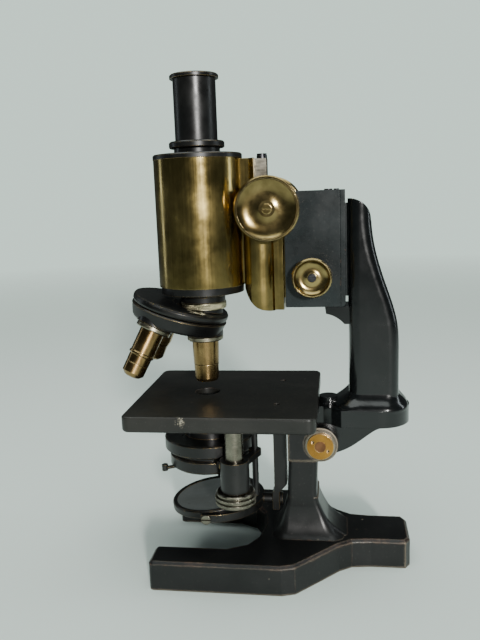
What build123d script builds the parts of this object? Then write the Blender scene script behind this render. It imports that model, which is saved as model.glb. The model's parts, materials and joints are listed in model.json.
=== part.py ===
from build123d import *
import os
from math import cos, pi, radians, sin

# Compound microscope with a handle-shaped arm, in millimetres.
# +Z is up, +X runs from the objectives to the arm, and Y = 0 is its plane of symmetry.
# The origin is on the table under the middle of the whole stand.
# Every X below is measured from the optical axis, which stands at optic_x.

# ---- driving dimensions ----
optic_x = -40.16         # where the optical axis stands from the origin
running = 0.05           # radial clearance of a shaft in its hole
slide_gap = 0.06         # clearance on each flank of a dovetail or sleeve

# foot and pillar
foot_height = 18.5
prong_front = -31.0
prong_outer = 54.5
prong_width = 20.5
toe_half = 17.5
toe_end = 128.4
pillar_half = 14.0
pillar_front = 52.5
pillar_rear = 70.3

# inclination joint
hinge_x = 73.0
hinge_z = 80.0
hinge_r = 5.0
ear_r = 10.0
ear_half = 15.0
lug_half = 6.5
cap_r = 8.3

# stage
stage_front = -42.6
stage_rear = 71.9
stage_half = 54.5
stage_top = 110.0
stage_thick = 9.8
aperture_r = 8.0
clip_x = 47.5
clip_y = 26.5
clip_hole_r = 1.75

# arm
arm_half = 14.0
grip_front = 91.0
grip_back = 121.2
foot_plate_top = 103.8
foot_plate_bottom = 93.0
foot_plate_half = 20.0
plate_rear_x = 108.2      # centre of the plate's rounded rear end
arm_top = 231.0
grip_round = 6.4

# fine-focus housing
box_front = 53.2
box_rear = 89.4
box_half = 11.0
box_bottom = 166.7
box_top = 236.5
fine_x = 69.7
fine_z = 185.8
fine_knob_r = 11.7
fine_knob_y = 24.0
wheel_z = 197.6          # arbor of the worm wheel and cam
follower_z = 206.05

# coarse focus
pinion_x = 43.8
pinion_z = 226.7
tooth_module = 0.8
pinion_teeth = 16
coarse_knob_r = 19.3
coarse_knob_y = 21.5
rack_depth = 1.0         # root below the pitch line
rack_rise = 0.6          # tip above the pitch line

# body tube
body_r = 27.2
body_bottom = 180.5
body_top = 257.6
sleeve_r = 13.0

# stage screws
tongue_bottom = 91.9
stage_screw_r = 1.5
stage_screw_places = ((49.5, -7.4), (49.5, 7.4))

# nosepiece
apex_z = 215.9
nose_tilt = 17.0
nose_r = 31.0
ring_bottom = 165.2      # underside of the knurled ring
ring_top = 170.0
recess_h = 52.4          # depth of the ring recess along the turret axis

# substage
post_x = 21.2
post_y = -33.0
mirror_x = 2.0
fork_z = 36.8
mirror_rest_tilt = 7.0

os.makedirs("parts", exist_ok=True)


def plan(z, x=0.0, y=0.0):
    """Horizontal plane at height z, centred x, y from the optical axis."""
    return Plane((optic_x + x, y, z))


def side(y=0.0, x=0.0, z=0.0):
    """Upright plane seen from the front knob side: sketch x is +X and sketch y is +Z."""
    return Plane((optic_x + x, y, z), x_dir=(1, 0, 0), z_dir=(0, -1, 0))


def cross(x):
    """Upright plane across the stand: sketch x is +Y and sketch y is +Z."""
    return Plane((optic_x + x, 0, 0), x_dir=(0, 1, 0), z_dir=(1, 0, 0))


def write(piece, name):
    piece.part.label = name
    export_step(piece.part, f"parts/{name}.step")


def turned(outline, plane, turn_axis=None):
    """Solid of revolution: outline is (radius, height) on the plane, turned about its y axis."""
    with BuildPart() as piece:
        with BuildSketch(plane):
            with BuildLine():
                Polyline(*outline, close=True)
            make_face()
        revolve(axis=turn_axis or Axis(plane.origin, plane.y_dir))
    return piece


# ================= foot, pillar and inclination joint =================
# The pillar flares into the foot with a concave sweep at the front and at the rear.
with BuildPart() as pillar:
    with BuildSketch(side()):
        with BuildLine():
            Line((pillar_front, 70), (51.6, 45.6))
            ThreePointArc((51.6, 45.6), (46.2, 25), (34, 11))
            Line((34, 11), (95, 11))
            Line((95, 11), (95, 16.4))
            ThreePointArc((95, 16.4), (77.5, 28.0), (pillar_rear, 52))
            Line((pillar_rear, 52), (71, 70))
            Line((71, 70), (pillar_front, 70))
        make_face()
    extrude(amount=pillar_half, both=True)
    flank_edges = pillar.edges().filter_by(
        lambda e: abs(abs(e.center().Y) - pillar_half) < 0.01 and 18 < e.center().Z < 69.5
    )
    fillet(flank_edges, radius=3.0)

# Sweep of the pillar into the foot: height, front, rear, half width and corner radius.
sweep_sections = (
    (17.6, 40.0, 89.0, 22.5, 9), (19.4, 42.2, 86.2, 19.8, 8), (22.6, 44.8, 82.0, 17.4, 6.5),
    (28, 47.4, 77.4, 15.4, 4.5), (36, 49.9, 73.2, 14.1, 3.3), (44, 51.4, 71.2, 14.0, 3.0),
)
with BuildPart() as pillar_sweep:
    for height, front, rear, half, corner in sweep_sections:
        with BuildSketch(plan(height, (front + rear) / 2)):
            RectangleRounded(rear - front, 2 * half, corner)
    loft()

# Horseshoe foot: two prongs to the front, one toe to the rear, and the pillar with its ears.
slot_half = lug_half + 0.15
with BuildPart() as horseshoe_base:
    with BuildSketch(plan(0)) as foot_outline:
        with BuildLine():
            outer = Polyline(
                (prong_front, -prong_outer), (50, -prong_outer), (58, -52), (70, -39.5),
                (84, -24.5), (92, -19), (104, -toe_half), (toe_end - 3, -toe_half),
                (toe_end, -toe_half + 5), (toe_end, 0),
            )
            inner = Polyline(
                (prong_front, -prong_outer), (prong_front, -prong_outer + prong_width),
                (14, -prong_outer + prong_width), (26, -28), (33, -16), (35, 0),
            )
            mirror(outer, about=Plane.XZ)
            mirror(inner, about=Plane.XZ)
        make_face()
        fillet(foot_outline.vertices().group_by(Axis.X)[0], radius=3)
    extrude(amount=foot_height)
    chamfer(horseshoe_base.faces().sort_by(Axis.Z)[-1].edges(), length=1.6)
    add(pillar)
    add(pillar_sweep)
    # two ears with square lower edges and round tops
    with BuildSketch(side()):
        with BuildLine():
            Line((pillar_front, 69), (hinge_x, 69))
            ThreePointArc((hinge_x, 69), (hinge_x + 11, hinge_z), (hinge_x, hinge_z + 11))
            Line((hinge_x, hinge_z + 11), (58, hinge_z + 11))
            Line((58, hinge_z + 11), (pillar_front, 86))
            Line((pillar_front, 86), (pillar_front, 69))
        make_face()
    extrude(amount=ear_half, both=True)
    with BuildSketch(side(0, hinge_x, hinge_z)):
        Circle(ear_r)
    extrude(amount=ear_half + 1.2, both=True)
    # slot for the arm's lug, deep enough behind the hinge for the web to swing down
    with BuildSketch(side()):
        with BuildLine():
            Polyline((48, 100), (48, 69), (62, 69), (68, 58), (76, 46), (96, 46), (96, 100), close=True)
        make_face()
    extrude(amount=slot_half, both=True, mode=Mode.SUBTRACT)
    with BuildSketch(side(0, hinge_x, hinge_z)):
        Circle(hinge_r)
    extrude(amount=ear_half + 2, both=True, mode=Mode.SUBTRACT)
write(horseshoe_base, "horseshoe_base")

pin_half = ear_half + 1.2
with BuildPart() as hinge_pin:
    with BuildSketch(side(0, hinge_x, hinge_z)):
        Circle(hinge_r)
    extrude(amount=pin_half, both=True)
    with BuildSketch(side(0, hinge_x, hinge_z)):
        Circle(3.4)
    extrude(amount=pin_half + 2.6, both=True)
write(hinge_pin, "hinge_pin")

with BuildPart() as hinge_washers:
    for way in (-1, 1):
        with BuildSketch(side(way * pin_half, hinge_x, hinge_z)):
            Circle(cap_r + 0.9)
            Circle(3.4, mode=Mode.SUBTRACT)
        extrude(amount=-way * 0.6)
write(hinge_washers, "hinge_washers")

# brass cap nuts with two spanner holes each
with BuildPart() as hinge_caps:
    for way in (-1, 1):
        with BuildSketch(side(way * (pin_half + 0.6), hinge_x, hinge_z)):
            Circle(cap_r)
            Circle(3.4, mode=Mode.SUBTRACT)
            with Locations((-4.7, 2.8), (4.7, -2.8)):
                Circle(0.9, mode=Mode.SUBTRACT)
        extrude(amount=-way * 1.8)
write(hinge_caps, "hinge_caps")

# ================= arm =================
# The handle is a bar of rounded section, thick where the hand holds it and slim behind the box.
handle_sections = (
    (100, 91.0, 121.2), (108, 91.0, 121.2), (116, 91.1, 121.2), (124, 91.2, 121.2), (132, 91.3, 121.2),
    (140, 91.4, 121.2), (148, 91.4, 121.0), (156, 91.2, 120.2), (164, 91.0, 118.4), (172, 91.0, 115.9),
    (180, 91.0, 113.1), (188, 91.0, 110.5), (196, 91.0, 108.2), (204, 91.0, 106.4), (212, 91.0, 105.2),
    (220, 91.0, 104.6), (232, 91.0, 104.4),
)
with BuildPart() as handle:
    for height, inside, back in handle_sections:
        with BuildSketch(plan(height, (inside + back) / 2)):
            RectangleRounded(back - inside, 2 * arm_half, grip_round)
    loft()
    # rounded top
    with BuildSketch(side()):
        with BuildLine():
            Line((90.8, 99), (90.8, arm_top))
            Line((90.8, arm_top), (grip_front, arm_top))
            ThreePointArc((grip_front, arm_top), (100.2, 227.8), (104.4, 218))
            Line((104.4, 218), (grip_back + 1, 200))
            Line((grip_back + 1, 200), (grip_back + 1, 99))
            Line((grip_back + 1, 99), (90.8, 99))
        make_face()
    extrude(amount=arm_half + 1, both=True, mode=Mode.INTERSECT)

# Flare of the handle into the foot plate: height, inside, back, half width and corner radius.
skirt_sections = (
    (102, 80.2, 127.4, 19.2, 16), (106.2, 81.8, 126.2, 18.0, 15), (109, 85.8, 123.7, 15.8, 12),
    (111.4, 89.2, 121.7, 14.4, 8.5), (115, 92.6, 119.6, 12.8, 6.0),
)
with BuildPart() as skirt:
    for height, inside, back, half, corner in skirt_sections:
        with BuildSketch(plan(height, (inside + back) / 2)):
            RectangleRounded(back - inside, 2 * half, corner)
    loft()

with BuildPart() as arm:
    add(handle)
    add(skirt)
    # flat seat for the focusing box
    with BuildSketch(cross(grip_front - 4)):
        with Locations((0, 201)):
            Rectangle(40, 70)
    extrude(amount=4, mode=Mode.SUBTRACT)
    # shelf under the focusing box
    with BuildSketch(side()):
        with BuildLine():
            Line((93, box_bottom), (76.8, box_bottom))
            Line((76.8, box_bottom), (77.4, 162.3))
            ThreePointArc((77.4, 162.3), (83.5, 160.0), (88.5, 155.8))
            Line((88.5, 155.8), (93, 155.8))
            Line((93, 155.8), (93, box_bottom))
        make_face()
    extrude(amount=box_half - 1, both=True)
    # foot plate, narrow at the stage and rounded at the rear
    with BuildSketch(plan(foot_plate_bottom)):
        with BuildLine():
            front_part = Polyline(
                (66, 0), (66, -10.5), (75, -11), (80, -14), (86, -foot_plate_half),
                (plate_rear_x, -foot_plate_half),
            )
            rear_part = ThreePointArc(
                (plate_rear_x, -foot_plate_half),
                (plate_rear_x + 0.7071 * foot_plate_half, -0.7071 * foot_plate_half),
                (plate_rear_x + foot_plate_half, 0),
            )
            mirror(front_part, about=Plane.XZ)
            mirror(rear_part, about=Plane.XZ)
        make_face()
    extrude(amount=foot_plate_top - foot_plate_bottom)
    # the stage stands against a step at the front of the plate
    with BuildSketch(plan(stage_top - stage_thick)):
        with Locations((stage_rear - 9.9, 0)):
            Rectangle(20, 30)
    extrude(amount=20, mode=Mode.SUBTRACT)
    # flat tongue that carries the stage
    with BuildSketch(plan(tongue_bottom)):
        with Locations((51, 0)):
            Rectangle(40, 21)
    extrude(amount=stage_top - stage_thick - tongue_bottom)
    # round boss between the stage and the handle
    with BuildSketch(plan(foot_plate_bottom + 4, 78.2)):
        Circle(5.9)
    extrude(amount=108 - foot_plate_bottom - 4)
    # lug and web under the plate, reaching the hinge
    with BuildSketch(side()):
        with BuildLine():
            Line((hinge_x, hinge_z - 9.2), (81.3, 71.4))
            Spline(
                (81.3, 71.4), (91.3, 75.7), (103.8, 84.8), (110.5, 88.4),
                tangents=((1, 0.3), (1, 0.3)),
            )
            Line((110.5, 88.4), (110.5, foot_plate_bottom + 3))
            Line((110.5, foot_plate_bottom + 3), (hinge_x - 6, foot_plate_bottom + 3))
            Line((hinge_x - 6, foot_plate_bottom + 3), (hinge_x - 9.2, hinge_z))
            ThreePointArc(
                (hinge_x - 9.2, hinge_z), (hinge_x - 6.5, hinge_z - 6.5), (hinge_x, hinge_z - 9.2)
            )
        make_face()
    extrude(amount=lug_half, both=True)
    with BuildSketch(side(0, hinge_x, hinge_z)):
        Circle(hinge_r + running)
    extrude(amount=ear_half, both=True, mode=Mode.SUBTRACT)
    with BuildSketch(plan(tongue_bottom)):
        with Locations(*stage_screw_places):
            Circle(stage_screw_r)
    extrude(amount=12, mode=Mode.SUBTRACT)
write(arm, "arm")

# ================= stage =================
with BuildPart() as stage_plate:
    with BuildSketch(plan(stage_top - stage_thick)):
        with Locations(((stage_front + stage_rear) / 2, 0)):
            RectangleRounded(stage_rear - stage_front, 2 * stage_half, 5)
    extrude(amount=stage_thick)
    fillet(stage_plate.faces().sort_by(Axis.Z)[-1].edges(), radius=1.2)
    fillet(stage_plate.faces().sort_by(Axis.Z)[0].edges(), radius=2.0)
    with BuildSketch(plan(stage_top)):
        Circle(aperture_r)
        with Locations((clip_x, clip_y), (clip_x, -clip_y)):
            Circle(clip_hole_r)
    extrude(amount=-stage_thick, mode=Mode.SUBTRACT)
    with BuildSketch(plan(stage_top - stage_thick)):
        with Locations(*stage_screw_places):
            Circle(stage_screw_r)
    extrude(amount=6.2, mode=Mode.SUBTRACT)
write(stage_plate, "stage_plate")

with BuildPart() as stage_screws:
    with BuildSketch(plan(tongue_bottom)):
        with Locations(*stage_screw_places):
            Circle(stage_screw_r)
    extrude(amount=stage_top - stage_thick - tongue_bottom + 6)
    with BuildSketch(plan(tongue_bottom - 1.6)):
        with Locations(*stage_screw_places):
            Circle(2.8)
            Rectangle(6, 0.8, mode=Mode.SUBTRACT)
    extrude(amount=1.0)
    with BuildSketch(plan(tongue_bottom - 0.6)):
        with Locations(*stage_screw_places):
            Circle(2.8)
    extrude(amount=0.6)
write(stage_screws, "stage_screws")

# ================= fine focus =================
# Box on the front of the handle. Its front wall guides the fine slide on a dovetail.
cavity_front = 60.5
housing_wall = 2.5
lid = 3.0
arbor_r = 1.2
shaft_r = 2.5
screw_r = 1.5
housing_screw_places = ((79.5, 2.5), (84.3, 1.6))


def dovetail(front, tip, neck, root, extra):
    """Plan outline of a dovetail, neck half-width at its start and root half-width at its end."""
    return (
        (front, -neck - extra), (tip - 3.2, -neck - extra), (tip, -root - extra),
        (tip, root + extra), (tip - 3.2, neck + extra), (front, neck + extra),
    )


with BuildPart() as focus_housing:
    with BuildSketch(side()):
        with Locations(((box_front + box_rear - lid) / 2, (box_bottom + box_top) / 2)):
            Rectangle(box_rear - lid - box_front, box_top - box_bottom)
    extrude(amount=box_half, both=True)
    with BuildSketch(side()):
        with Locations(((cavity_front + box_rear) / 2, (box_bottom + box_top) / 2)):
            Rectangle(box_rear - cavity_front, box_top - box_bottom - 6)
    extrude(amount=box_half - housing_wall, both=True, mode=Mode.SUBTRACT)
    with BuildSketch(plan(box_bottom)):
        with BuildLine():
            Polyline(*dovetail(box_front - 1, 57.6, 5, 7.5, slide_gap), close=True)
        make_face()
    extrude(amount=64.5, mode=Mode.SUBTRACT)
    with BuildSketch(cross(57.5)):
        with Locations((0, box_bottom + 32.25)):
            Rectangle(15.12, 64.5)
    extrude(amount=0.3, mode=Mode.SUBTRACT)
    with BuildSketch(cross(cavity_front + 0.1)):
        with Locations((0, follower_z)):
            Rectangle(6, 7.2)
    extrude(amount=-4, mode=Mode.SUBTRACT)
    with BuildSketch(cross(cavity_front + 0.1)):
        with Locations((0, wheel_z)):
            Circle(arbor_r + running)
    extrude(amount=-1.7, mode=Mode.SUBTRACT)
    with BuildSketch(side(0, fine_x, fine_z)):
        Circle(shaft_r + running)
    extrude(amount=box_half + 1, both=True, mode=Mode.SUBTRACT)
    for place, head_r in housing_screw_places:
        with BuildSketch(plan(box_top, place)):
            Circle(1.0)
        extrude(amount=-2.5, mode=Mode.SUBTRACT)
write(focus_housing, "focus_housing")

with BuildPart() as housing_back_plate:
    with BuildSketch(side()) as lid_outline:
        with Locations((box_rear - lid / 2, (box_bottom + box_top) / 2)):
            Rectangle(lid, box_top - box_bottom)
        fillet(lid_outline.vertices().sort_by(lambda v: v.X + v.Z)[-1], radius=2.4)
    extrude(amount=box_half, both=True)
    with BuildSketch(cross(box_rear)):
        with Locations((0, (box_bottom + box_top) / 2 - 1)):
            Rectangle(2 * box_half - 9, box_top - box_bottom - 14)
    extrude(amount=grip_front - box_rear)
    with BuildSketch(cross(box_rear - lid)):
        with Locations((0, wheel_z)):
            Circle(arbor_r + running)
    extrude(amount=1.5, mode=Mode.SUBTRACT)
write(housing_back_plate, "housing_back_plate")

with BuildPart() as housing_screws:
    for place, head_r in housing_screw_places:
        with BuildSketch(plan(box_top, place)):
            Circle(head_r)
        extrude(amount=0.7)
        with BuildSketch(plan(box_top, place)):
            Circle(1.0)
        extrude(amount=-2.4)
write(housing_screws, "housing_screws")

# Brass plate between the box and the pinion block, with its dovetail tongue and follower arm.
plate_front = 46.5
plate_rear = 52.1
chamber_r = 7.5
chamber_half = 5.0
with BuildPart() as fine_slide_plate:
    with BuildSketch(plan(165.3)):
        with Locations(((plate_front + plate_rear) / 2, 0)):
            Rectangle(plate_rear - plate_front, 2 * box_half)
    extrude(amount=238 - 165.3)
    with BuildSketch(plan(172)):
        with BuildLine():
            Polyline(*dovetail(plate_rear, 57.6, 5, 7.5, 0), close=True)
        make_face()
    extrude(amount=55)
    with BuildSketch(side()):
        with Locations((61.3, follower_z)):
            Rectangle(8.2, 3.4)
    extrude(amount=2.4, both=True)
    with BuildSketch(side(0, pinion_x, pinion_z)):
        Circle(chamber_r)
    extrude(amount=chamber_half, both=True, mode=Mode.SUBTRACT)
    with BuildSketch(cross(65.4)):
        with Locations((0, follower_z)):
            Circle(arbor_r)
    extrude(amount=-4, mode=Mode.SUBTRACT)
write(fine_slide_plate, "fine_slide_plate")

with BuildPart() as cam_follower:
    with BuildSketch(cross(61.4)):
        with Locations((0, follower_z)):
            Circle(arbor_r)
    extrude(amount=4.4)
    with BuildSketch(cross(65.8)):
        with Locations((0, follower_z)):
            Circle(2.4)
    extrude(amount=2.2)
write(cam_follower, "cam_follower")

# Worm wheel and snail cam on one arbor. The cam lowers or lifts the follower evenly as it turns.
cam_turn = 150
cam_rise = 1.2
cam_mid_r = 5.75
with BuildPart() as cam_wheel:
    with BuildSketch(cross(59.0)):
        with Locations((0, wheel_z)):
            Circle(arbor_r)
    extrude(amount=box_rear - lid + 1.2 - 59.0)
    with BuildSketch(cross(fine_x - 1.2)):
        with Locations((0, wheel_z)):
            Circle(7.9)
        with Locations((0, wheel_z)):
            with PolarLocations(8.0, 30):
                Rectangle(1.2, 0.8, mode=Mode.SUBTRACT)
    extrude(amount=2.4)
    with BuildSketch(cross(65.9)):
        with BuildLine():
            cam_points = [
                (
                    (cam_mid_r - cam_rise * turn / cam_turn) * sin(radians(turn)),
                    wheel_z + (cam_mid_r - cam_rise * turn / cam_turn) * cos(radians(turn)),
                )
                for turn in range(-160, 161, 20)
            ]
            Spline(*cam_points)
            Line(cam_points[-1], (0, wheel_z - 3.2))
            Line((0, wheel_z - 3.2), cam_points[0])
        make_face()
    extrude(amount=fine_x - 1.2 - 65.9)
write(cam_wheel, "cam_wheel")


def knob_pair(x, z, radius, inner_y, outer_y, head_r, name):
    """Two dished milled knobs on the ends of one shaft, and the screws that hold them."""
    rim = radius * 0.09
    floor_y = outer_y - 2.6
    with BuildPart() as knobs:
        for way in (-1, 1):
            plane = Plane((optic_x + x, 0, z), x_dir=(1, 0, 0), z_dir=(0, 0, way))
            with BuildSketch(plane):
                with BuildLine():
                    Polyline(
                        (radius * 0.25, floor_y), (screw_r, floor_y), (screw_r, outer_y - 5.6),
                        (shaft_r, outer_y - 5.6), (shaft_r, inner_y), (radius * 0.3, inner_y),
                        (radius * 0.34, outer_y - 5.2), (radius - 1.2, outer_y - 5.2),
                        (radius, outer_y - 4.4), (radius, outer_y - 0.6), (radius - 0.6, outer_y),
                        (radius - rim, outer_y), (radius - rim - 0.4, outer_y - 0.8),
                    )
                    ThreePointArc(
                        (radius - rim - 0.4, outer_y - 0.8), (radius * 0.6, outer_y - 3.1),
                        (radius * 0.25, floor_y),
                    )
                make_face()
            revolve(axis=Axis(plane.origin, plane.y_dir))
    write(knobs, f"{name}_knobs")
    with BuildPart() as screws:
        for way in (-1, 1):
            with BuildSketch(side(way * (outer_y - 5.6), x, z)):
                Circle(screw_r)
            extrude(amount=-way * 3.0)
            with BuildSketch(side(way * floor_y, x, z)):
                Circle(head_r)
            extrude(amount=-way * 0.8)
            with BuildSketch(side(way * (floor_y + 0.8), x, z)):
                Circle(head_r - 0.3)
                Rectangle(2 * head_r + 1, 0.7, mode=Mode.SUBTRACT)
            extrude(amount=-way * 0.6)
    write(screws, f"{name}_knob_screws")


# Fine shaft across the box, with the worm turned on it.
with BuildPart() as fine_shaft:
    with BuildSketch(side(0, fine_x, fine_z)):
        Circle(shaft_r)
    extrude(amount=fine_knob_y - 5.6, both=True)
    for ring in range(-3, 4):
        with BuildSketch(side(ring * 1.6 + 0.4, fine_x, fine_z)):
            Circle(3.6)
        extrude(amount=0.8)
write(fine_shaft, "fine_shaft")
knob_pair(fine_x, fine_z, fine_knob_r, box_half + 0.3, fine_knob_y, 2.5, "fine")

# ================= coarse focus =================
pitch_r = tooth_module * pinion_teeth / 2
tooth_pitch = pi * tooth_module
pitch_line = pinion_x - pitch_r
rack_half = 4.5
rail_neck = 5.2
rail_half = 8.0
rail_rear = 35.4

# Brass block with the rail slot, the rack channel and the pinion chamber.
with BuildPart() as pinion_block:
    with BuildSketch(plan(164.7)):
        with BuildLine():
            Line((28, 7.4), (28, -7.4))
            ThreePointArc((28, -7.4), (36, -14), (plate_front, -9.5))
            Line((plate_front, -9.5), (plate_front, 9.5))
            ThreePointArc((plate_front, 9.5), (36, 14), (28, 7.4))
        make_face()
    extrude(amount=238 - 164.7)
    # the lower front corner is cut to a round
    with BuildSketch(side()):
        with BuildLine():
            Line((20, 182), (27.2, 182))
            Spline((27.2, 182), (31.3, 171.7), (35.5, 167.3), (40.4, 165.4), (46.6, 164.7))
            Line((46.6, 164.7), (46.6, 160))
            Line((46.6, 160), (20, 160))
            Line((20, 160), (20, 182))
        make_face()
    extrude(amount=20, both=True, mode=Mode.SUBTRACT)
    with BuildSketch(plan(160)):
        with BuildLine():
            Polyline(*dovetail(27, rail_rear, rail_neck, rail_half, slide_gap), close=True)
        make_face()
        with Locations((rail_rear + 1.6, 0)):
            Rectangle(3.4, 2 * rack_half + 0.7)
    extrude(amount=90, mode=Mode.SUBTRACT)
    with BuildSketch(side(0, pinion_x, pinion_z)):
        Circle(chamber_r)
    extrude(amount=chamber_half, both=True, mode=Mode.SUBTRACT)
    with BuildSketch(side(0, pinion_x, pinion_z)):
        Circle(shaft_r + running)
    extrude(amount=20, both=True, mode=Mode.SUBTRACT)
write(pinion_block, "pinion_block")

# Pinion and its shaft. A tooth points at the rack.
with BuildPart() as pinion_shaft:
    with BuildSketch(side(0, pinion_x, pinion_z)):
        Circle(shaft_r)
    extrude(amount=coarse_knob_y - 5.6, both=True)
    with BuildSketch(side(0, pinion_x, pinion_z)):
        Circle(pitch_r - rack_depth)
        with PolarLocations(0, pinion_teeth):
            with BuildLine():
                Polyline(
                    (pitch_r - rack_depth - 0.4, -0.66), (pitch_r, -0.42), (pitch_r + rack_rise, -0.2),
                    (pitch_r + rack_rise, 0.2), (pitch_r, 0.42), (pitch_r - rack_depth - 0.4, 0.66),
                    close=True,
                )
            make_face()
    extrude(amount=rack_half, both=True)
write(pinion_shaft, "pinion_shaft")
knob_pair(pinion_x, pinion_z, coarse_knob_r, 14.5, coarse_knob_y, 3.2, "coarse")

# ================= body tube =================
with BuildPart() as slide_rail:
    with BuildSketch(plan(182)):
        with BuildLine():
            Polyline(*dovetail(25, rail_rear, rail_neck, rail_half, 0), close=True)
        make_face()
        Circle(body_r, mode=Mode.SUBTRACT)
    extrude(amount=257 - 182)
write(slide_rail, "slide_rail")

# Rack on the rail. The gap between two teeth faces the pinion's tooth.
rack_bottom = 182.2
rack_top = 244.2
with BuildPart() as rack:
    with BuildSketch(side()):
        with Locations(((rail_rear + pitch_line - rack_depth) / 2, (rack_bottom + rack_top) / 2)):
            Rectangle(pitch_line - rack_depth - rail_rear, rack_top - rack_bottom)
        root_x = pitch_line - rack_depth
        tip_x = pitch_line + rack_rise
        for step in range(-17, 7):
            tooth_z = pinion_z + (step + 0.5) * tooth_pitch
            with BuildLine():
                Polyline(
                    (root_x - 0.2, tooth_z - 0.78), (root_x, tooth_z - 0.78), (tip_x, tooth_z - 0.2),
                    (tip_x, tooth_z + 0.2), (root_x, tooth_z + 0.78), (root_x - 0.2, tooth_z + 0.78),
                    close=True,
                )
            make_face()
    extrude(amount=rack_half, both=True)
write(rack, "rack")

stop_rear = 42.8
with BuildPart() as slide_stop:
    with BuildSketch(side()):
        with Locations(((rail_rear + stop_rear) / 2, 250.4)):
            Rectangle(stop_rear - rail_rear, 12.2)
    extrude(amount=4.5, both=True)
    with BuildSketch(plan(256.6, 39.8)):
        Circle(1.5)
    extrude(amount=-6, mode=Mode.SUBTRACT)
write(slide_stop, "slide_stop")

with BuildPart() as stop_screw:
    with BuildSketch(plan(256.5, 39.8)):
        Circle(3.2)
    extrude(amount=1.8)
    with BuildSketch(plan(258.3, 39.8)):
        Circle(3.0)
        Rectangle(7, 0.8, mode=Mode.SUBTRACT)
    extrude(amount=1.2)
    with BuildSketch(plan(256.5, 39.8)):
        Circle(1.5)
    extrude(amount=-5.8)
write(stop_screw, "stop_screw")

tube_wall = 1.6
axis_plane = side()
body_tube = turned(
    (
        (body_r - tube_wall, body_bottom), (body_r, body_bottom), (body_r, body_top),
        (body_r - tube_wall, body_top),
    ),
    axis_plane,
)
write(body_tube, "body_tube")

sleeve_outer = 14.1
body_cap = turned(
    (
        (sleeve_outer, body_top - 3.4), (body_r - tube_wall, body_top - 3.4),
        (body_r - tube_wall, body_top), (27.4, body_top), (27.4, body_top + 2.4),
        (26.7, body_top + 3.1), (sleeve_outer, body_top + 3.1),
    ),
    axis_plane,
)
write(body_cap, "body_cap")

draw_tube_sleeve = turned(
    (
        (sleeve_r + slide_gap, 215), (sleeve_outer, 215), (sleeve_outer, 264.3),
        (sleeve_r + slide_gap, 264.3),
    ),
    axis_plane,
)
write(draw_tube_sleeve, "draw_tube_sleeve")

draw_tube_collar = turned(
    (
        (sleeve_r + 0.3, 264.3), (16.4, 264.3), (17, 264.9), (17, 267.5), (16.2, 268.3),
        (sleeve_r + 0.3, 268.3),
    ),
    axis_plane,
)
write(draw_tube_collar, "draw_tube_collar")

body_flange = turned(
    (
        (11, ring_top), (13.9, ring_top), (13.9, 173.4), (26, 176), (26, body_bottom),
        (body_r - tube_wall, body_bottom), (body_r - tube_wall, 184), (22, 184), (22, 178.5),
        (11, 176),
    ),
    axis_plane,
)
write(body_flange, "body_flange")

# ================= nosepiece =================
# Heights here run along the turret's axis, down from the point where all objective axes meet.
apex = Vector(optic_x, 0, apex_z)
tilt_sin = sin(radians(nose_tilt))
tilt_cos = cos(radians(nose_tilt))
turret_plane = Plane(apex, x_dir=(tilt_cos, 0, -tilt_sin), z_dir=(0, 1, 0))
turret_axis = Axis(apex, turret_plane.y_dir)
cover_top = 48.2
cover_bottom = 53.6
turret_top = 54.0
turret_bottom = 62.8
shoulder_h = 68.1
bore_r = 7.6

# The knurled ring is bevelled on its hidden side to clear the sloping cover.
ring_cut = turned(
    ((0, recess_h - 0.1), (60, recess_h - 0.1), (60, 90), (0, 90)), turret_plane
)
with BuildPart() as nose_adapter_ring:
    with BuildSketch(plan(ring_bottom)):
        Circle(14.3)
        Circle(9, mode=Mode.SUBTRACT)
    extrude(amount=ring_top - ring_bottom)
    chamfer(nose_adapter_ring.edges().filter_by(GeomType.CIRCLE).filter_by(
        lambda e: abs(e.radius - 14.3) < 0.01), length=0.5)
    add(ring_cut, mode=Mode.SUBTRACT)
write(nose_adapter_ring, "nose_adapter_ring")

cover_disc = turned(
    (
        (0, cover_top), (28.5, cover_top), (30.3, 48.8), (nose_r, 50.0), (nose_r, 51.8),
        (30.5, 53.0), (29.5, cover_bottom), (0, cover_bottom),
    ),
    turret_plane,
)
recess_floor = turned(((0, 20), (60, 20), (60, recess_h), (0, recess_h)), turret_plane)
hub_trim = turned(
    ((0, cover_bottom), (60, cover_bottom), (60, 90), (0, 90)), turret_plane
)
with BuildPart() as ring_recess:
    with BuildSketch(plan(ring_bottom)):
        Circle(19.5)
    extrude(amount=20)
    add(recess_floor, mode=Mode.INTERSECT)
with BuildPart() as nosepiece_cover:
    add(cover_disc)
    add(ring_recess, mode=Mode.SUBTRACT)
    with BuildSketch(plan(ring_bottom)):
        Circle(12)
    extrude(amount=-8)
    add(hub_trim, mode=Mode.SUBTRACT)
    with BuildSketch(plan(140)):
        Circle(bore_r)
    extrude(amount=40, mode=Mode.SUBTRACT)
    with BuildSketch(turret_plane):
        with BuildLine():
            Polyline((0, 40), (3, 40), (3, 70), (0, 70), close=True)
        make_face()
    revolve(axis=turret_axis, mode=Mode.SUBTRACT)
write(nosepiece_cover, "nosepiece_cover")

turret_pivot = turned(
    (
        (0, recess_h + 0.1), (3, recess_h + 0.1), (3, cover_bottom), (6.6, cover_bottom),
        (6.6, 55.4), (3, 55.4), (3, turret_bottom + 0.15), (5.2, turret_bottom + 0.15),
        (5.2, 64.2), (4.6, 64.8), (0, 64.8),
    ),
    turret_plane,
)
write(turret_pivot, "turret_pivot")


def objective_plane(turn):
    """Plane whose y axis runs down one objective, from its shoulder."""
    down = Vector(0, 0, -1).rotate(turret_axis, turn)
    across = Vector(1, 0, 0).rotate(turret_axis, turn)
    return Plane(apex + down * shoulder_h, x_dir=across, z_dir=across.cross(down))


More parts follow.
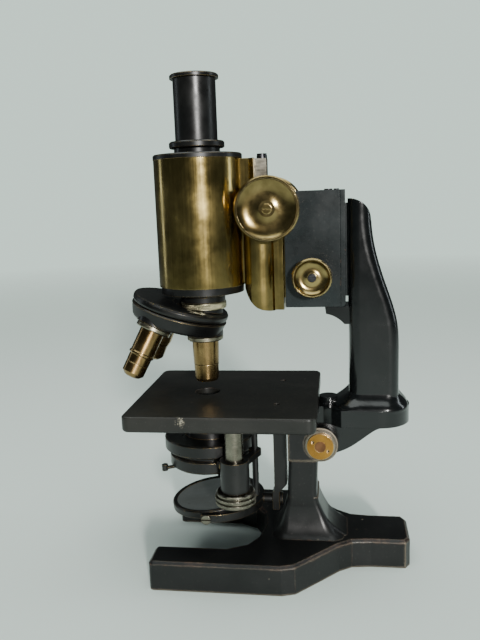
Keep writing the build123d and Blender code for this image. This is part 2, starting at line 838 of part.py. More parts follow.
objective_planes = [objective_plane(turn) for turn in (0, 120, 240)]
turret_disc = turned(
    (
        (3.05, 55.8), (7.2, 55.8), (7.2, turret_top), (30.2, turret_top), (31, 54.8),
        (29.2, 61.6), (28.4, turret_bottom), (3.05, turret_bottom),
    ),
    turret_plane,
)
bosses = [
    turned(((bore_r, -9), (11.6, -9), (11.6, 0), (bore_r, 0)), plane) for plane in objective_planes
]
boss_bores = [
    turned(((0, -20), (bore_r, -20), (bore_r, 0), (12.4, 0), (12.4, 5), (0, 5)), plane)
    for plane in objective_planes
]
top_trim = turned(
    ((0, 30), (60, 30), (60, turret_top), (7.2, turret_top), (7.2, 55.8), (0, 55.8)), turret_plane
)
with BuildPart() as nosepiece_turret:
    add(turret_disc)
    for boss in bosses:
        add(boss)
    add(top_trim, mode=Mode.SUBTRACT)
    for boss_bore in boss_bores:
        add(boss_bore, mode=Mode.SUBTRACT)
write(nosepiece_turret, "nosepiece_turret")

# Each objective: a milled collar at the shoulder, a stepped barrel and a front lens.
objective_names = ("medium_objective", "high_objective", "low_objective")
collar_radii = (11.5, 11.0, 11.0)
barrel_outlines = (
    (
        (8.5, 3), (8.5, 6.8), (8.1, 18.2), (7.8, 18.4), (8.0, 18.7), (7.7, 27.8), (6.8, 29.6),
        (3.6, 29.9),
    ),
    (
        (7.6, 3), (7.5, 17.8), (8.0, 18.2), (8.0, 19.4), (7.2, 20), (7.1, 25), (6.9, 25.2),
        (7.1, 25.4), (7.0, 31.4), (5.0, 33.4), (3.6, 34),
    ),
    (
        (8.0, 3), (7.8, 17), (7.4, 17.4), (7.2, 20), (6.7, 21), (6.5, 30.4), (5.2, 32.4),
        (3.6, 33),
    ),
)
for name, plane, collar_r, outline in zip(
    objective_names, objective_planes, collar_radii, barrel_outlines
):
    tip = outline[-1][1]
    collar = turned(
        (
            (6.4, -6), (bore_r, -6), (bore_r, 0), (collar_r - 0.5, 0), (collar_r, 0.5),
            (collar_r, 2.4), (collar_r - 0.6, 3), (6.4, 3),
        ),
        plane,
    )
    write(collar, f"{name}_collar")
    barrel = turned(
        outline + ((3.2, tip), (3.2, tip - 3), (5.6, tip - 5), (5.6, 3)), plane
    )
    write(barrel, f"{name}_barrel")
    lens = turned(((0, tip - 2.6), (3.2, tip - 2.6), (3.2, tip - 0.3), (0, tip - 0.3)), plane)
    write(lens, f"{name}_lens")

# ================= draw tube and eyepiece =================
draw_bore = 11.8
draw_top = 304.9
draw_tube = turned(
    ((draw_bore, 210), (sleeve_r, 210), (sleeve_r, draw_top - 0.1), (draw_bore, draw_top - 0.1)),
    axis_plane,
)
write(draw_tube, "draw_tube")

eyepiece_r = draw_bore - slide_gap
eyepiece_barrel = turned(
    (
        (10.8, 278), (eyepiece_r, 278), (eyepiece_r, draw_top), (14.8, draw_top), (14.8, 306.7),
        (14.2, 307.3), (7, 307.3), (4.2, 306.2), (4.2, 304.4), (5.6, 304.4), (5.6, 301.5),
        (10.8, 301.5),
    ),
    axis_plane,
)
write(eyepiece_barrel, "eyepiece_barrel")
eye_lens = turned(((0, 301.5), (5.6, 301.5), (5.6, 303.4), (3, 304.2), (0, 304.4)), axis_plane)
write(eye_lens, "eye_lens")
field_lens = turned(
    ((0, 278.6), (6, 279.2), (10.8, 280.6), (10.8, 282.4), (0, 282.4)), axis_plane
)
write(field_lens, "field_lens")

# ================= substage =================
post_r = 5.6
guide_x = 31.5
guide_y = -14.0
guide_r = 2.0
with BuildPart() as substage_bar:
    with BuildSketch(side()):
        with BuildLine():
            Polyline(
                (41, 30.5), (45, 30.5), (45.5, 31), (45.5, 42.6), (50.6, 48.5), (50.6, tongue_bottom),
                (42.4, tongue_bottom), (42.4, 44), (41, 42.6), close=True,
            )
        make_face()
    extrude(amount=4.3, both=True)
    with BuildSketch(cross(40)):
        with Locations((0, fork_z)):
            Circle(2.6 + running)
    extrude(amount=6, mode=Mode.SUBTRACT)
write(substage_bar, "substage_bar")

post_plane = side(post_y, post_x)
post_top = stage_top - stage_thick
substage_post = turned(
    ((0, 46.6), (post_r - 0.6, 46.6), (post_r, 47.2), (post_r, post_top), (0, post_top)), post_plane
)
write(substage_post, "substage_post")
carrier_guide_rod = turned(
    ((0, 45), (1.4, 45), (guide_r, 45.6), (guide_r, post_top), (0, post_top)), side(guide_y, guide_x)
)
write(carrier_guide_rod, "carrier_guide_rod")

# Bracket that slides on the post: sleeve, collar with a lug round the guide rod, and a ring.
with BuildPart() as condenser_carrier:
    with BuildSketch(plan(71)):
        Circle(24)
        with BuildLine():
            Polyline((14.6, -10), (5, -20), (12, -35), (22, -30), (24, -22), close=True)
        make_face()
    extrude(amount=3)
    with BuildSketch(plan(57.1)):
        with Locations((post_x, post_y)):
            Circle(9)
    extrude(amount=76.5 - 57.1)
    with BuildSketch(plan(72.5)):
        with Locations((guide_x, guide_y)):
            Circle(4)
        with BuildLine():
            Polyline(
                (guide_x + 3.4, guide_y - 2), (guide_x - 1.6, guide_y - 3.4),
                (post_x + 4.6, post_y + 5), (post_x + 8.4, post_y + 2), close=True,
            )
        make_face()
    extrude(amount=4)
    with BuildSketch(plan(50)):
        Circle(18)
    extrude(amount=50, mode=Mode.SUBTRACT)
    with BuildSketch(plan(50)):
        with Locations((post_x, post_y)):
            Circle(post_r + running)
        with Locations((guide_x, guide_y)):
            Circle(guide_r + running)
    extrude(amount=50, mode=Mode.SUBTRACT)
write(condenser_carrier, "condenser_carrier")

condenser_mount = turned(
    (
        (14, 74), (28.4, 74), (29.4, 75), (29.4, 81.7), (28.6, 82.5), (16, 82.5), (16, 86.6),
        (15.4, 87.2), (7.4, 87.9), (7.4, 96.4), (6.8, 97), (5.6, 97), (5.6, 86.8), (12, 85), (12, 77),
        (14, 77),
    ),
    axis_plane,
)
write(condenser_mount, "condenser_mount")
condenser_lens = turned(((0, 90.5), (5.6, 90.5), (5.6, 96.2), (4.6, 96.8), (0, 96.8)), axis_plane)
write(condenser_lens, "condenser_lens")

iris_housing = turned(
    (
        (9, 60.6), (17.5, 60.6), (17.5, 61.0), (15, 61.0), (15, 62.8), (25.4, 62.8), (26.4, 63.8),
        (26.4, 70.2), (25.6, 71), (18.4, 71), (18.4, 66), (9, 66),
    ),
    axis_plane,
)
write(iris_housing, "iris_housing")

with BuildPart() as iris_lever:
    with BuildSketch(plan(61.2)):
        Circle(20)
        with Locations(Rotation(0, 0, 205)):
            with Locations((25, 0)):
                Rectangle(12, 3)
        Circle(15.3, mode=Mode.SUBTRACT)
    extrude(amount=1.3)
    with BuildSketch(plan(60.2)):
        with Locations(Rotation(0, 0, 205)):
            with Locations((31, 0)):
                Circle(2)
    extrude(amount=4)
write(iris_lever, "iris_lever")

wheel_bore = post_r + running
substage_wheel = turned(
    (
        (wheel_bore, 48.4), (11.6, 48.4), (12.4, 49.2), (12.4, 51.0), (11.4, 51.6), (11.4, 51.9),
        (12.6, 52.4), (12.6, 54.2), (11.4, 54.8), (11.4, 55.1), (11.8, 55.5), (11.8, 56.2),
        (11.2, 56.8), (wheel_bore, 56.8),
    ),
    post_plane,
)
write(substage_wheel, "substage_wheel")

# ================= mirror =================
fork_inner = 29.8
fork_outer = 33.0
pivot_r = 1.5
with BuildPart() as mirror_fork:
    with BuildSketch(plan(fork_z - 2.5, mirror_x)):
        Circle(fork_outer)
        Circle(fork_inner, mode=Mode.SUBTRACT)
        with Locations((-23.5, 0)):
            Rectangle(40, 70, mode=Mode.SUBTRACT)
    extrude(amount=5)
    for front, rear, radius in ((34, 40.8, 3.3), (40.8, 45.8, 2.6), (45.7, 47.4, 4.2)):
        with BuildSketch(cross(front)):
            with Locations((0, fork_z)):
                Circle(radius)
        extrude(amount=rear - front)
    with BuildSketch(side(0, mirror_x, fork_z)):
        Circle(pivot_r)
    extrude(amount=40, both=True, mode=Mode.SUBTRACT)
write(mirror_fork, "mirror_fork")

with BuildPart() as mirror_pivots:
    for way in (-1, 1):
        with BuildSketch(side(way * 27.2, mirror_x, fork_z)):
            Circle(pivot_r)
        extrude(amount=-way * 6.2)
        with BuildSketch(side(way * fork_outer, mirror_x, fork_z)):
            Circle(3.0)
            Rectangle(7, 0.8, mode=Mode.SUBTRACT)
        extrude(amount=-way * 1.6)
write(mirror_pivots, "mirror_pivots")

mirror_sin = sin(radians(mirror_rest_tilt))
mirror_cos = cos(radians(mirror_rest_tilt))
mirror_plane = Plane(
    (optic_x + mirror_x, 0, fork_z), x_dir=(mirror_cos, 0, mirror_sin), z_dir=(0, -1, 0)
)
cell_disc = turned(
    (
        (0, -3.6), (21, -3.6), (27.6, -2.2), (28.5, -1.4), (28.5, 2.2), (27.8, 3), (26.4, 3),
        (25.5, 2.6), (25.5, 1.4), (0, 1.4),
    ),
    mirror_plane,
)
with BuildPart() as mirror_cell:
    add(cell_disc)
    for way in (-1, 1):
        with BuildSketch(side(way * 26.9, mirror_x, fork_z)):
            Circle(pivot_r + running)
        extrude(amount=-way * 3, mode=Mode.SUBTRACT)
write(mirror_cell, "mirror_cell")
mirror_glass = turned(((0, 1.4), (25.5, 1.4), (25.5, 2.4), (0, 2.4)), mirror_plane)
write(mirror_glass, "mirror_glass")
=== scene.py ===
import json
from math import cos, pi, radians, sin

import bmesh
import bpy
from mathutils import Matrix, Vector


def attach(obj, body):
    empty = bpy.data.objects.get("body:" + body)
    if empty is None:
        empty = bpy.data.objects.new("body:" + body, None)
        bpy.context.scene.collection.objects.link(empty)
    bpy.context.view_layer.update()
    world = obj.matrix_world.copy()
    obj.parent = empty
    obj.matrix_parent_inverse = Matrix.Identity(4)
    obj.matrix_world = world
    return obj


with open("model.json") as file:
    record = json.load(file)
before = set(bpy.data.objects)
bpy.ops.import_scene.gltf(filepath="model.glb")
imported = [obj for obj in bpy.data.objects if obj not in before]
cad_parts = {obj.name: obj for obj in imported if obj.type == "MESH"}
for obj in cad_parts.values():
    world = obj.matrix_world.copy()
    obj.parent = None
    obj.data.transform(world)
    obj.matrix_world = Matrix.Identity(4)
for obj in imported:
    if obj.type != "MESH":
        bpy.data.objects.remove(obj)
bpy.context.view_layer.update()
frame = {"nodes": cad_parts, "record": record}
nodes = frame["nodes"]

MM = 0.001
OPTIC_X = -40.16 * MM

# The coarse and fine focus axles, as x and z in millimetres, and the condenser's wheel, as x and y
COARSE_X, COARSE_Z = 43.8, 226.7
FINE_X, FINE_Z = 69.7, 185.8
WHEEL_X, WHEEL_Y = 21.2, -33

# Sizes of grain, as the scale of a noise: larger is finer
FINE_GRAIN = 420
DUST_GRAIN = 900


def at(x, y, z):
    """Point in metres from millimetres measured from the optical axis and the table."""
    return Vector((OPTIC_X + x * MM, y * MM, z * MM))


# ---------------------------------------------------------------- materials
class Net:
    """A small builder for one material's nodes."""

    def __init__(self, name):
        self.material = bpy.data.materials.new(name)
        self.material.use_nodes = True
        self.tree = self.material.node_tree
        self.tree.nodes.clear()
        output = self.tree.nodes.new("ShaderNodeOutputMaterial")
        self.shader = self.tree.nodes.new("ShaderNodeBsdfPrincipled")
        self.tree.links.new(self.shader.outputs[0], output.inputs[0])
        self.place = self.tree.nodes.new("ShaderNodeTexCoord").outputs["Object"]

    def node(self, kind, settings=None, **values):
        """Add a node. Each value's key is the name of an input, or i and the input's number."""
        made = self.tree.nodes.new(kind)
        for key, value in (settings or {}).items():
            setattr(made, key, value)
        for key, value in values.items():
            numbered = key[0] == "i" and key[1:].isdigit()
            socket = made.inputs[int(key[1:]) if numbered else key]
            self.put(socket, value)
        return made

    def put(self, socket, value):
        """Link a socket to another node's output, or set it to a constant."""
        if isinstance(value, bpy.types.NodeSocket):
            self.tree.links.new(value, socket)
        else:
            socket.default_value = value

    def set(self, **values):
        """Set the shader's inputs by name, with _ for each space."""
        for key, value in values.items():
            self.put(self.shader.inputs[key.replace("_", " ")], value)

    def stretch(self, scale):
        return self.node("ShaderNodeMapping", Vector=self.place, Scale=scale).outputs[0]

    def noise(self, scale, detail=4.0, rough=0.5, place=None, warp=0.0):
        made = self.node(
            "ShaderNodeTexNoise", Vector=place or self.place, Scale=scale, Detail=detail, Roughness=rough,
            Distortion=warp,
        )
        return made.outputs[0]

    def cells(self, scale, place=None):
        made = self.node("ShaderNodeTexVoronoi", Vector=place or self.place, Scale=scale)
        return made.outputs["Distance"]

    def fit(self, value, low, high, to_low=0.0, to_high=1.0):
        """Carry the span low..high over to to_low..to_high, clamped."""
        made = self.node("ShaderNodeMapRange", i0=value, i1=low, i2=high, i3=to_low, i4=to_high)
        return made.outputs[0]

    def math(self, operation, a, b=0.0):
        return self.node("ShaderNodeMath", {"operation": operation}, i0=a, i1=b).outputs[0]

    def mix(self, factor, a, b):
        made = self.node("ShaderNodeMix", {"data_type": "RGBA"})
        self.put(made.inputs[0], factor)
        self.put(made.inputs[6], a if isinstance(a, bpy.types.NodeSocket) else (*a, 1))
        self.put(made.inputs[7], b if isinstance(b, bpy.types.NodeSocket) else (*b, 1))
        return made.outputs[2]

    def round_normal(self, radius):
        """Normal of the surface with its edges softened."""
        return self.node("ShaderNodeBevel", {"samples": 4}, Radius=radius).outputs[0]

    def bump(self, height, distance, normal=None, strength=1.0):
        made = self.node("ShaderNodeBump", Strength=strength, Distance=distance, Height=height)
        if normal is not None:
            self.put(made.inputs["Normal"], normal)
        return made.outputs[0]

    def edges(self, radius, low, high):
        """1 on sharp edges, 0 on faces."""
        rounded = self.round_normal(radius)
        flat = self.node("ShaderNodeNewGeometry").outputs["True Normal"]
        across = self.node("ShaderNodeVectorMath", {"operation": "DOT_PRODUCT"}, i0=rounded, i1=flat)
        return self.fit(across.outputs["Value"], high, low)


PRIMER = (0.085, 0.045, 0.030)
BARE_METAL = (0.27, 0.235, 0.18)
FLAKE = (0.24, 0.22, 0.17)


def brass(name, light, dark, rough, brush, blotch=26.0):
    """Aged lacquered brass: blotches in the lacquer, fine brushing and a few specks.

    brush is the noise's scale along each axis, so a small one draws streaks that way.
    """
    net = Net(name)
    patches = net.noise(blotch, 5, 0.62, warp=0.4)
    brushing = net.noise(1.0, 3, 0.6, net.stretch(brush))
    specks = net.fit(net.cells(700), 0.05, 0.09, 1, 0)
    specks = net.math("MULTIPLY", specks, net.fit(net.noise(90, 2), 0.58, 0.66))
    tone = net.math("ADD", net.fit(patches, 0.35, 0.68), net.fit(brushing, 0.3, 0.7, -0.09, 0.09))
    colour = net.mix(tone, dark, light)
    colour = net.mix(specks, colour, (0.05, 0.03, 0.015))
    worn = net.edges(0.0005, 0.93, 0.99)
    colour = net.mix(net.math("MULTIPLY", worn, 0.35), colour, (0.78, 0.62, 0.32))
    spread = net.fit(net.noise(60, 4, 0.6), 0.3, 0.7, rough - 0.05, rough + 0.09)
    spread = net.math("ADD", spread, net.fit(brushing, 0.3, 0.7, -0.02, 0.02))
    normal = net.bump(brushing, 0.00003, net.round_normal(0.0004), 0.22)
    net.set(Base_Color=colour, Metallic=1.0, Roughness=spread, Normal=normal)
    return net.material


def turned_brass(name, centre, light, dark, rough):
    """Lathe-turned brass about a +Y axis through centre: fine rings and lacquer in darker and lighter
    patches.
    """
    net = Net(name)
    moved = net.node("ShaderNodeVectorMath", {"operation": "SUBTRACT"}, i0=net.place, i1=tuple(centre))
    flat = net.node("ShaderNodeVectorMath", {"operation": "MULTIPLY"}, i0=moved.outputs[0], i1=(1, 0, 1))
    reach = net.node("ShaderNodeVectorMath", {"operation": "LENGTH"}, i0=flat.outputs[0]).outputs["Value"]
    rings = net.math("SINE", net.math("MULTIPLY", reach, 9000.0))
    patches = net.noise(55, 5, 0.6, warp=0.5)
    tone = net.math("ADD", net.fit(patches, 0.32, 0.7), net.math("MULTIPLY", rings, 0.05))
    colour = net.mix(tone, dark, light)
    worn = net.edges(0.0005, 0.9, 0.99)
    colour = net.mix(net.math("MULTIPLY", worn, 0.7), colour, (0.86, 0.68, 0.36))
    spread = net.fit(net.noise(140, 3, 0.6), 0.3, 0.7, rough - 0.04, rough + 0.07)
    normal = net.bump(rings, 0.000004, net.round_normal(0.0003), 0.6)
    net.set(Base_Color=colour, Metallic=1.0, Roughness=spread, Normal=normal)
    return net.material


def metal(name, light, dark, rough):
    """Plain machined or plated metal with tarnish in patches."""
    net = Net(name)
    patches = net.noise(70, 5, 0.62, warp=0.3)
    fine = net.noise(160, 3, 0.6, net.stretch((1, 1, 6)))
    colour = net.mix(net.fit(patches, 0.35, 0.65), dark, light)
    spots = net.fit(net.noise(320, 4, 0.7), 0.62, 0.72)
    colour = net.mix(net.math("MULTIPLY", spots, 0.6), colour, (0.06, 0.05, 0.04))
    spread = net.fit(fine, 0.3, 0.7, rough - 0.06, rough + 0.1)
    normal = net.bump(fine, 0.00002, net.round_normal(0.0003), 0.4)
    net.set(Base_Color=colour, Metallic=1.0, Roughness=spread, Normal=normal)
    return net.material


def enamel(name, colour, tint, rough, wear, chips, peel, under=(PRIMER, BARE_METAL), coat=0.0,
           edge_radius=0.0011, dust=0.0, chip_place=None, level=0.5):
    """Black paint: mottling, orange peel, and edges worn through primer to metal.

    wear and edge_radius say how much of the edges is worn, chips how many pits there are
    and peel how fine the orange peel is. chip_place is the middle of a patch of flakes.
    """
    net = Net(name)
    mottle = net.noise(22, 6, 0.6, warp=0.6)
    base = net.mix(net.fit(mottle, 0.35, 0.7), colour, tint)
    grains = net.fit(net.noise(DUST_GRAIN, 2), 0.66, 0.74)
    base = net.mix(net.math("MULTIPLY", grains, dust), base, (0.30, 0.29, 0.26))
    edge = net.edges(edge_radius, 0.80, 0.985)
    ragged = net.noise(240, 6, 0.68, warp=0.5)
    large = net.noise(34, 3, 0.6)
    broken = net.math("MULTIPLY", edge, wear)
    broken = net.math("ADD", broken, net.fit(ragged, 0.25, 0.75, -0.62, 0.10))
    broken = net.math("ADD", broken, net.fit(large, 0.35, 0.65, -0.34, 0.06))
    primer = net.fit(broken, 0.06, 0.16)
    bare = net.fit(broken, 0.30, 0.42)
    pits = net.fit(net.cells(150), 0.06, 0.10, 1, 0)
    pits = net.math("MULTIPLY", pits, net.fit(net.noise(30, 2), 0.60 - chips, 0.66 - chips))
    base = net.mix(primer, base, under[0])
    base = net.mix(bare, base, under[1])
    base = net.mix(net.math("MULTIPLY", pits, 0.8), base, under[1])
    if chip_place is not None:
        away = net.node("ShaderNodeVectorMath", {"operation": "DISTANCE"}, i0=net.place,
                        i1=tuple(chip_place))
        near = net.fit(away.outputs["Value"], 0.001, 0.010, 1, 0.1)
        flakes = net.fit(net.math("MULTIPLY", near, net.noise(DUST_GRAIN, 3, 0.7)), 0.46, 0.52)
        base = net.mix(flakes, base, FLAKE)
    spread = net.fit(net.noise(46, 5, 0.65), 0.3, 0.7, rough - 0.06, rough + 0.1)
    spread = net.math("ADD", spread, net.math("MULTIPLY", primer, 0.25))
    relief = net.math("ADD", net.math("MULTIPLY", net.noise(peel, 3, 0.55), 0.5),
                      net.math("MULTIPLY", primer, -0.6))
    normal = net.bump(relief, 0.00009, net.round_normal(0.0009), 0.55)
    net.set(Base_Color=base, Metallic=net.math("MULTIPLY", bare, 0.9), Roughness=spread, Normal=normal,
            Specular_IOR_Level=level, Coat_Weight=coat, Coat_Roughness=0.12)
    return net.material


def lacquer(name, colour, rough, wear):
    """Black lacquer on turned brass, rubbed through to brass along sharp edges."""
    net = Net(name)
    haze = net.noise(60, 5, 0.6, warp=0.3)
    base = net.mix(net.fit(haze, 0.35, 0.7), colour, (0.0075, 0.0075, 0.0070))
    edge = net.edges(0.0005, 0.86, 0.985)
    ragged = net.fit(net.noise(210, 5, 0.66), 0.3, 0.7, -0.75, 0.1)
    rub = net.fit(net.math("ADD", net.math("MULTIPLY", edge, wear), ragged), 0.12, 0.32)
    base = net.mix(rub, base, (0.30, 0.21, 0.09))
    spread = net.fit(net.noise(120, 4, 0.6), 0.3, 0.7, rough - 0.06, rough + 0.1)
    normal = net.bump(net.noise(FINE_GRAIN, 2), 0.00002, net.round_normal(0.0004), 0.4)
    net.set(Base_Color=base, Metallic=net.math("MULTIPLY", rub, 0.9), Roughness=spread, Normal=normal,
            Specular_IOR_Level=0.4)
    return net.material


def glass(name):
    """Clear glass under a faint uneven film."""
    net = Net(name)
    film = net.noise(90, 4, 0.6)
    net.set(Base_Color=net.mix(net.fit(film, 0.3, 0.7), (0.86, 0.92, 0.95), (0.80, 0.86, 0.84)),
            Roughness=net.fit(film, 0.3, 0.7, 0.02, 0.07), Transmission_Weight=0.85, IOR=1.52)
    return net.material


def mirror_finish(name):
    """Silvered glass with a thin film of dust and a few foxed spots."""
    net = Net(name)
    dust = net.fit(net.noise(45, 5, 0.65, warp=0.4), 0.35, 0.7)
    spots = net.fit(net.noise(260, 4, 0.7), 0.68, 0.74)
    colour = net.mix(dust, (0.86, 0.88, 0.86), (0.72, 0.74, 0.70))
    colour = net.mix(spots, colour, (0.35, 0.30, 0.22))
    net.set(Base_Color=colour, Metallic=0.92, Roughness=net.fit(dust, 0, 1, 0.05, 0.16))
    return net.material


# One look for each of the record's material slots
looks = {
    "base_enamel": enamel(
        "base_enamel", (0.0030, 0.0032, 0.0034), (0.0075, 0.0078, 0.0078), rough=0.33, wear=1.12,
        chips=0.0, peel=200, dust=0.08, edge_radius=0.0024, level=0.35,
    ),
    "arm_enamel": enamel(
        "arm_enamel", (0.0018, 0.0022, 0.0024), (0.0035, 0.0042, 0.0046), rough=0.20, wear=0.0,
        chips=-0.3, peel=90, coat=0.3, level=0.4,
    ),
    "housing_enamel": enamel(
        "housing_enamel", (0.0055, 0.0078, 0.0083), (0.013, 0.019, 0.0205), rough=0.28, wear=0.22,
        chips=-0.1, peel=140, coat=0.15, dust=0.10, level=0.4,
    ),
    "stage_coating": enamel(
        "stage_coating", (0.0070, 0.0070, 0.0060), (0.0150, 0.0145, 0.0120), rough=0.38, wear=0.45,
        chips=-0.04, peel=FINE_GRAIN, under=((0.075, 0.05, 0.035), (0.40, 0.37, 0.31)), dust=0.15,
        chip_place=at(-6, -54.3, 107.5), level=0.4,
    ),
    "lacquered_brass": brass(
        "lacquered_brass", (0.46, 0.345, 0.125), (0.165, 0.125, 0.042), rough=0.185,
        brush=(900, 900, 12),
    ),
    "milled_brass": brass(
        "milled_brass", (0.44, 0.325, 0.125), (0.20, 0.145, 0.052), rough=0.26,
        brush=(300, 300, 300),
    ),
    "objective_brass": brass(
        "objective_brass", (0.36, 0.245, 0.105), (0.165, 0.105, 0.042), rough=0.24,
        brush=(1100, 1100, 30), blotch=60.0,
    ),
    "blackened_metal": lacquer("blackened_metal", (0.0025, 0.0026, 0.0027), rough=0.32, wear=0.9),
    "nickel": metal("nickel", (0.27, 0.25, 0.20), (0.11, 0.10, 0.078), 0.27),
    "steel": metal("steel", (0.34, 0.315, 0.26), (0.16, 0.145, 0.115), 0.33),
    "blued_steel": metal("blued_steel", (0.075, 0.075, 0.08), (0.035, 0.035, 0.04), 0.28),
    "copper_pin": metal("copper_pin", (0.26, 0.125, 0.060), (0.13, 0.062, 0.030), 0.36),
    "mirror_silver": mirror_finish("mirror_silver"),
    "optical_glass": glass("optical_glass"),
}
# Looks of single nodes: the turned brass is centred on each one's own axis
coarse_look = turned_brass(
    "coarse_knob_brass", at(COARSE_X, 0, COARSE_Z), (0.38, 0.285, 0.120), (0.145, 0.105, 0.040), 0.20
)
fine_look = turned_brass(
    "fine_knob_brass", at(FINE_X, 0, FINE_Z), (0.40, 0.30, 0.125), (0.16, 0.118, 0.045), 0.20
)
cap_look = turned_brass(
    "hinge_cap_brass", at(73, 0, 80), (0.50, 0.255, 0.055), (0.22, 0.105, 0.024), 0.26
)
ring_look = metal("nose_ring_brass", (0.56, 0.52, 0.35), (0.34, 0.31, 0.20), 0.30)
collar_look = metal("collar_nickel", (0.34, 0.315, 0.235), (0.15, 0.135, 0.095), 0.33)

for entry in frame["record"]["subparts"]:
    data = nodes[entry["node"]].data
    data.materials.clear()
    data.materials.append(looks[entry["material_slot"]])
nodes["coarse_knobs"].data.materials[0] = coarse_look
nodes["fine_knobs"].data.materials[0] = fine_look
nodes["hinge_caps"].data.materials[0] = cap_look
nodes["nose_adapter_ring"].data.materials[0] = ring_look
for power in ("low", "medium", "high"):
    nodes[f"{power}_objective_collar"].data.materials[0] = collar_look


# ---------------------------------------------------------------- milled bands
def finish_piece(mesh, name, look, body):
    """Make the mesh an object of the scene that rides on a body."""
    data = bpy.data.meshes.new(name)
    bmesh.ops.recalc_face_normals(mesh, faces=mesh.faces)
    mesh.to_mesh(data)
    mesh.free()
    piece = bpy.data.objects.new(name, data)
    bpy.context.scene.collection.objects.link(piece)
    data.materials.append(look)
    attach(piece, body)
    return piece


def milled_band(name, centre, axis, radius, width, teeth, look, body, depth=0.22):
    """Closed ring of straight milling. Its teeth stand depth proud of radius."""
    axis = Vector(axis).normalized()
    across = axis.orthogonal().normalized()
    third = axis.cross(across)
    mesh = bmesh.new()
    half = width * MM / 2
    bevel = min(0.35 * MM, half * 0.4)
    loops = []
    for step in range(4 * teeth):
        angle = 2 * pi * step / (4 * teeth)
        out = across * cos(angle) + third * sin(angle)
        crest = (radius + (depth if step % 4 in (0, 1) else 0.0)) * MM
        root = (radius - 0.35) * MM
        profile = (
            (root, -half), (crest - bevel, -half), (crest, -half + bevel),
            (crest, half - bevel), (crest - bevel, half), (root, half),
        )
        loops.append([mesh.verts.new(centre + out * reach + axis * up) for reach, up in profile])
    for first, second in zip(loops, loops[1:] + loops[:1]):
        count = len(first)
        for k in range(count):
            n = (k + 1) % count
            mesh.faces.new((first[k], second[k], second[n], first[n]))
    return finish_piece(mesh, name, look, body)


SIDEWAYS = (0, 1, 0)
UPRIGHT = (0, 0, 1)
for sign, side_name in ((-1, "near"), (1, "far")):
    milled_band(f"coarse_rim_{side_name}", at(COARSE_X, sign * 19.0, COARSE_Z), SIDEWAYS,
                19.2, 3.4, 110, coarse_look, "coarse_pinion")
    milled_band(f"fine_rim_{side_name}", at(FINE_X, sign * 21.5, FINE_Z), SIDEWAYS,
                11.6, 3.4, 74, fine_look, "fine_pinion")
for level_name, height, radius in (("lower", 50.1, 12.3), ("upper", 53.3, 12.5)):
    milled_band(f"wheel_rim_{level_name}", at(WHEEL_X, WHEEL_Y, height), UPRIGHT,
                radius, 1.6, 84, looks["nickel"], "wheel")
milled_band("nose_ring_milling", at(0, 0, 167.6), UPRIGHT,
            14.3, 3.4, 110, ring_look, "body", depth=0.16)

# ---------------------------------------------------------------- floor, light and camera
FLOOR_HALF = 30
FADE_FROM, FADE_TO = 0.5, 2.2

floor_mesh = bpy.data.meshes.new("floor")
floor_corners = [(x * FLOOR_HALF, y * FLOOR_HALF, 0) for x, y in ((-1, -1), (1, -1), (1, 1), (-1, 1))]
floor_mesh.from_pydata(floor_corners, [], [(0, 1, 2, 3)])
floor = bpy.data.objects.new("floor", floor_mesh)
bpy.context.scene.collection.objects.link(floor)
floor_net = Net("floor")
reach = floor_net.node("ShaderNodeVectorMath", {"operation": "LENGTH"}, i0=floor_net.place)
floor_net.set(Base_Color=(0.74, 0.84, 0.79, 1), Roughness=0.85,
              Alpha=floor_net.fit(reach.outputs["Value"], FADE_FROM, FADE_TO, 1, 0))
floor_mesh.materials.append(floor_net.material)

# The camera sees a pale world, and the object is lit by a faint one.
world = bpy.data.worlds.new("studio")
bpy.context.scene.world = world
world.use_nodes = True
tree = world.node_tree
tree.nodes.clear()
world_out = tree.nodes.new("ShaderNodeOutputWorld")
seen = tree.nodes.new("ShaderNodeBackground")
seen.inputs[0].default_value = (0.56, 0.69, 0.625, 1)
seen.inputs[1].default_value = 1.5
fill = tree.nodes.new("ShaderNodeBackground")
fill.inputs[0].default_value = (0.78, 0.90, 0.88, 1)
fill.inputs[1].default_value = 0.07
chooser = tree.nodes.new("ShaderNodeMixShader")
path = tree.nodes.new("ShaderNodeLightPath")
tree.links.new(path.outputs["Is Camera Ray"], chooser.inputs[0])
tree.links.new(fill.outputs[0], chooser.inputs[1])
tree.links.new(seen.outputs[0], chooser.inputs[2])
tree.links.new(chooser.outputs[0], world_out.inputs[0])

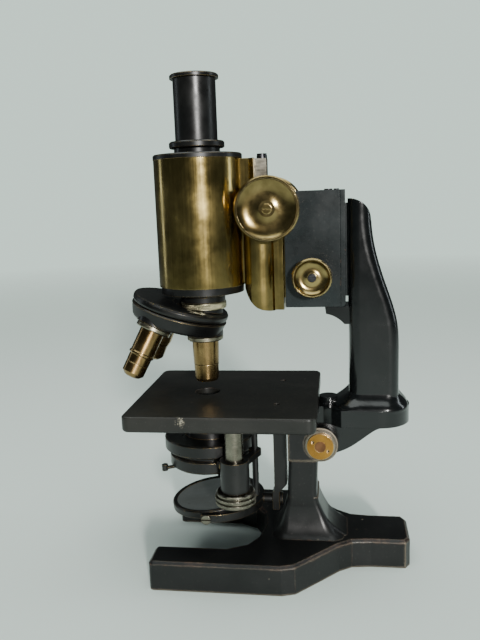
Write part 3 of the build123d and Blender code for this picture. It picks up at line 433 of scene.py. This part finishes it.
AZIMUTH = radians(8.41)
ELEVATION = radians(10.33)
ROLL = radians(-2.05)
back = Vector((sin(AZIMUTH) * cos(ELEVATION), -cos(AZIMUTH) * cos(ELEVATION), sin(ELEVATION)))
level = Vector((cos(AZIMUTH), sin(AZIMUTH), 0))
upright = back.cross(level)
right = level * cos(ROLL) + upright * sin(ROLL)
up = upright * cos(ROLL) - level * sin(ROLL)
camera_data = bpy.data.cameras.new("camera")
camera_data.sensor_width = 36
camera_data.lens = 38.1
camera = bpy.data.objects.new("camera", camera_data)
bpy.context.scene.collection.objects.link(camera)
camera_place = at(84.9, -419.5, 234.4)
camera.matrix_world = Matrix((
    (right.x, up.x, back.x, camera_place.x),
    (right.y, up.y, back.y, camera_place.y),
    (right.z, up.z, back.z, camera_place.z),
    (0, 0, 0, 1),
))
camera_data.clip_start = 0.01
bpy.context.scene.camera = camera


def aim(lamp, place, target):
    lamp.location = place
    lamp.rotation_mode = "QUATERNION"
    lamp.rotation_quaternion = (Vector(target) - Vector(place)).to_track_quat("-Z", "Y")


def area_light(name, place, target, width, height, power, colour):
    data = bpy.data.lights.new(name, "AREA")
    data.shape = "RECTANGLE"
    data.size = width
    data.size_y = height
    data.energy = power
    data.color = colour
    lamp = bpy.data.objects.new(name, data)
    bpy.context.scene.collection.objects.link(lamp)
    aim(lamp, place, target)


sun_data = bpy.data.lights.new("key", "SUN")
sun_data.energy = 4.6
sun_data.angle = radians(5)
sun_data.color = (1.0, 0.985, 0.95)
sun = bpy.data.objects.new("key", sun_data)
bpy.context.scene.collection.objects.link(sun)
aim(sun, (0.36, -1.0, 0.36), (0, 0, 0.12))
area_light("top_box", (0.0, -0.1, 1.3), (0, 0, 0), 1.4, 1.4, 17.0, (0.93, 1.0, 0.97))
area_light("left_box", (-0.85, 0.15, 0.40), (0, 0, 0.15), 0.10, 0.7, 0.5, (0.84, 0.95, 1.0))
area_light("right_box", (0.85, 0.15, 0.45), (0, 0, 0.15), 0.10, 0.7, 1.2, (0.88, 0.97, 1.0))
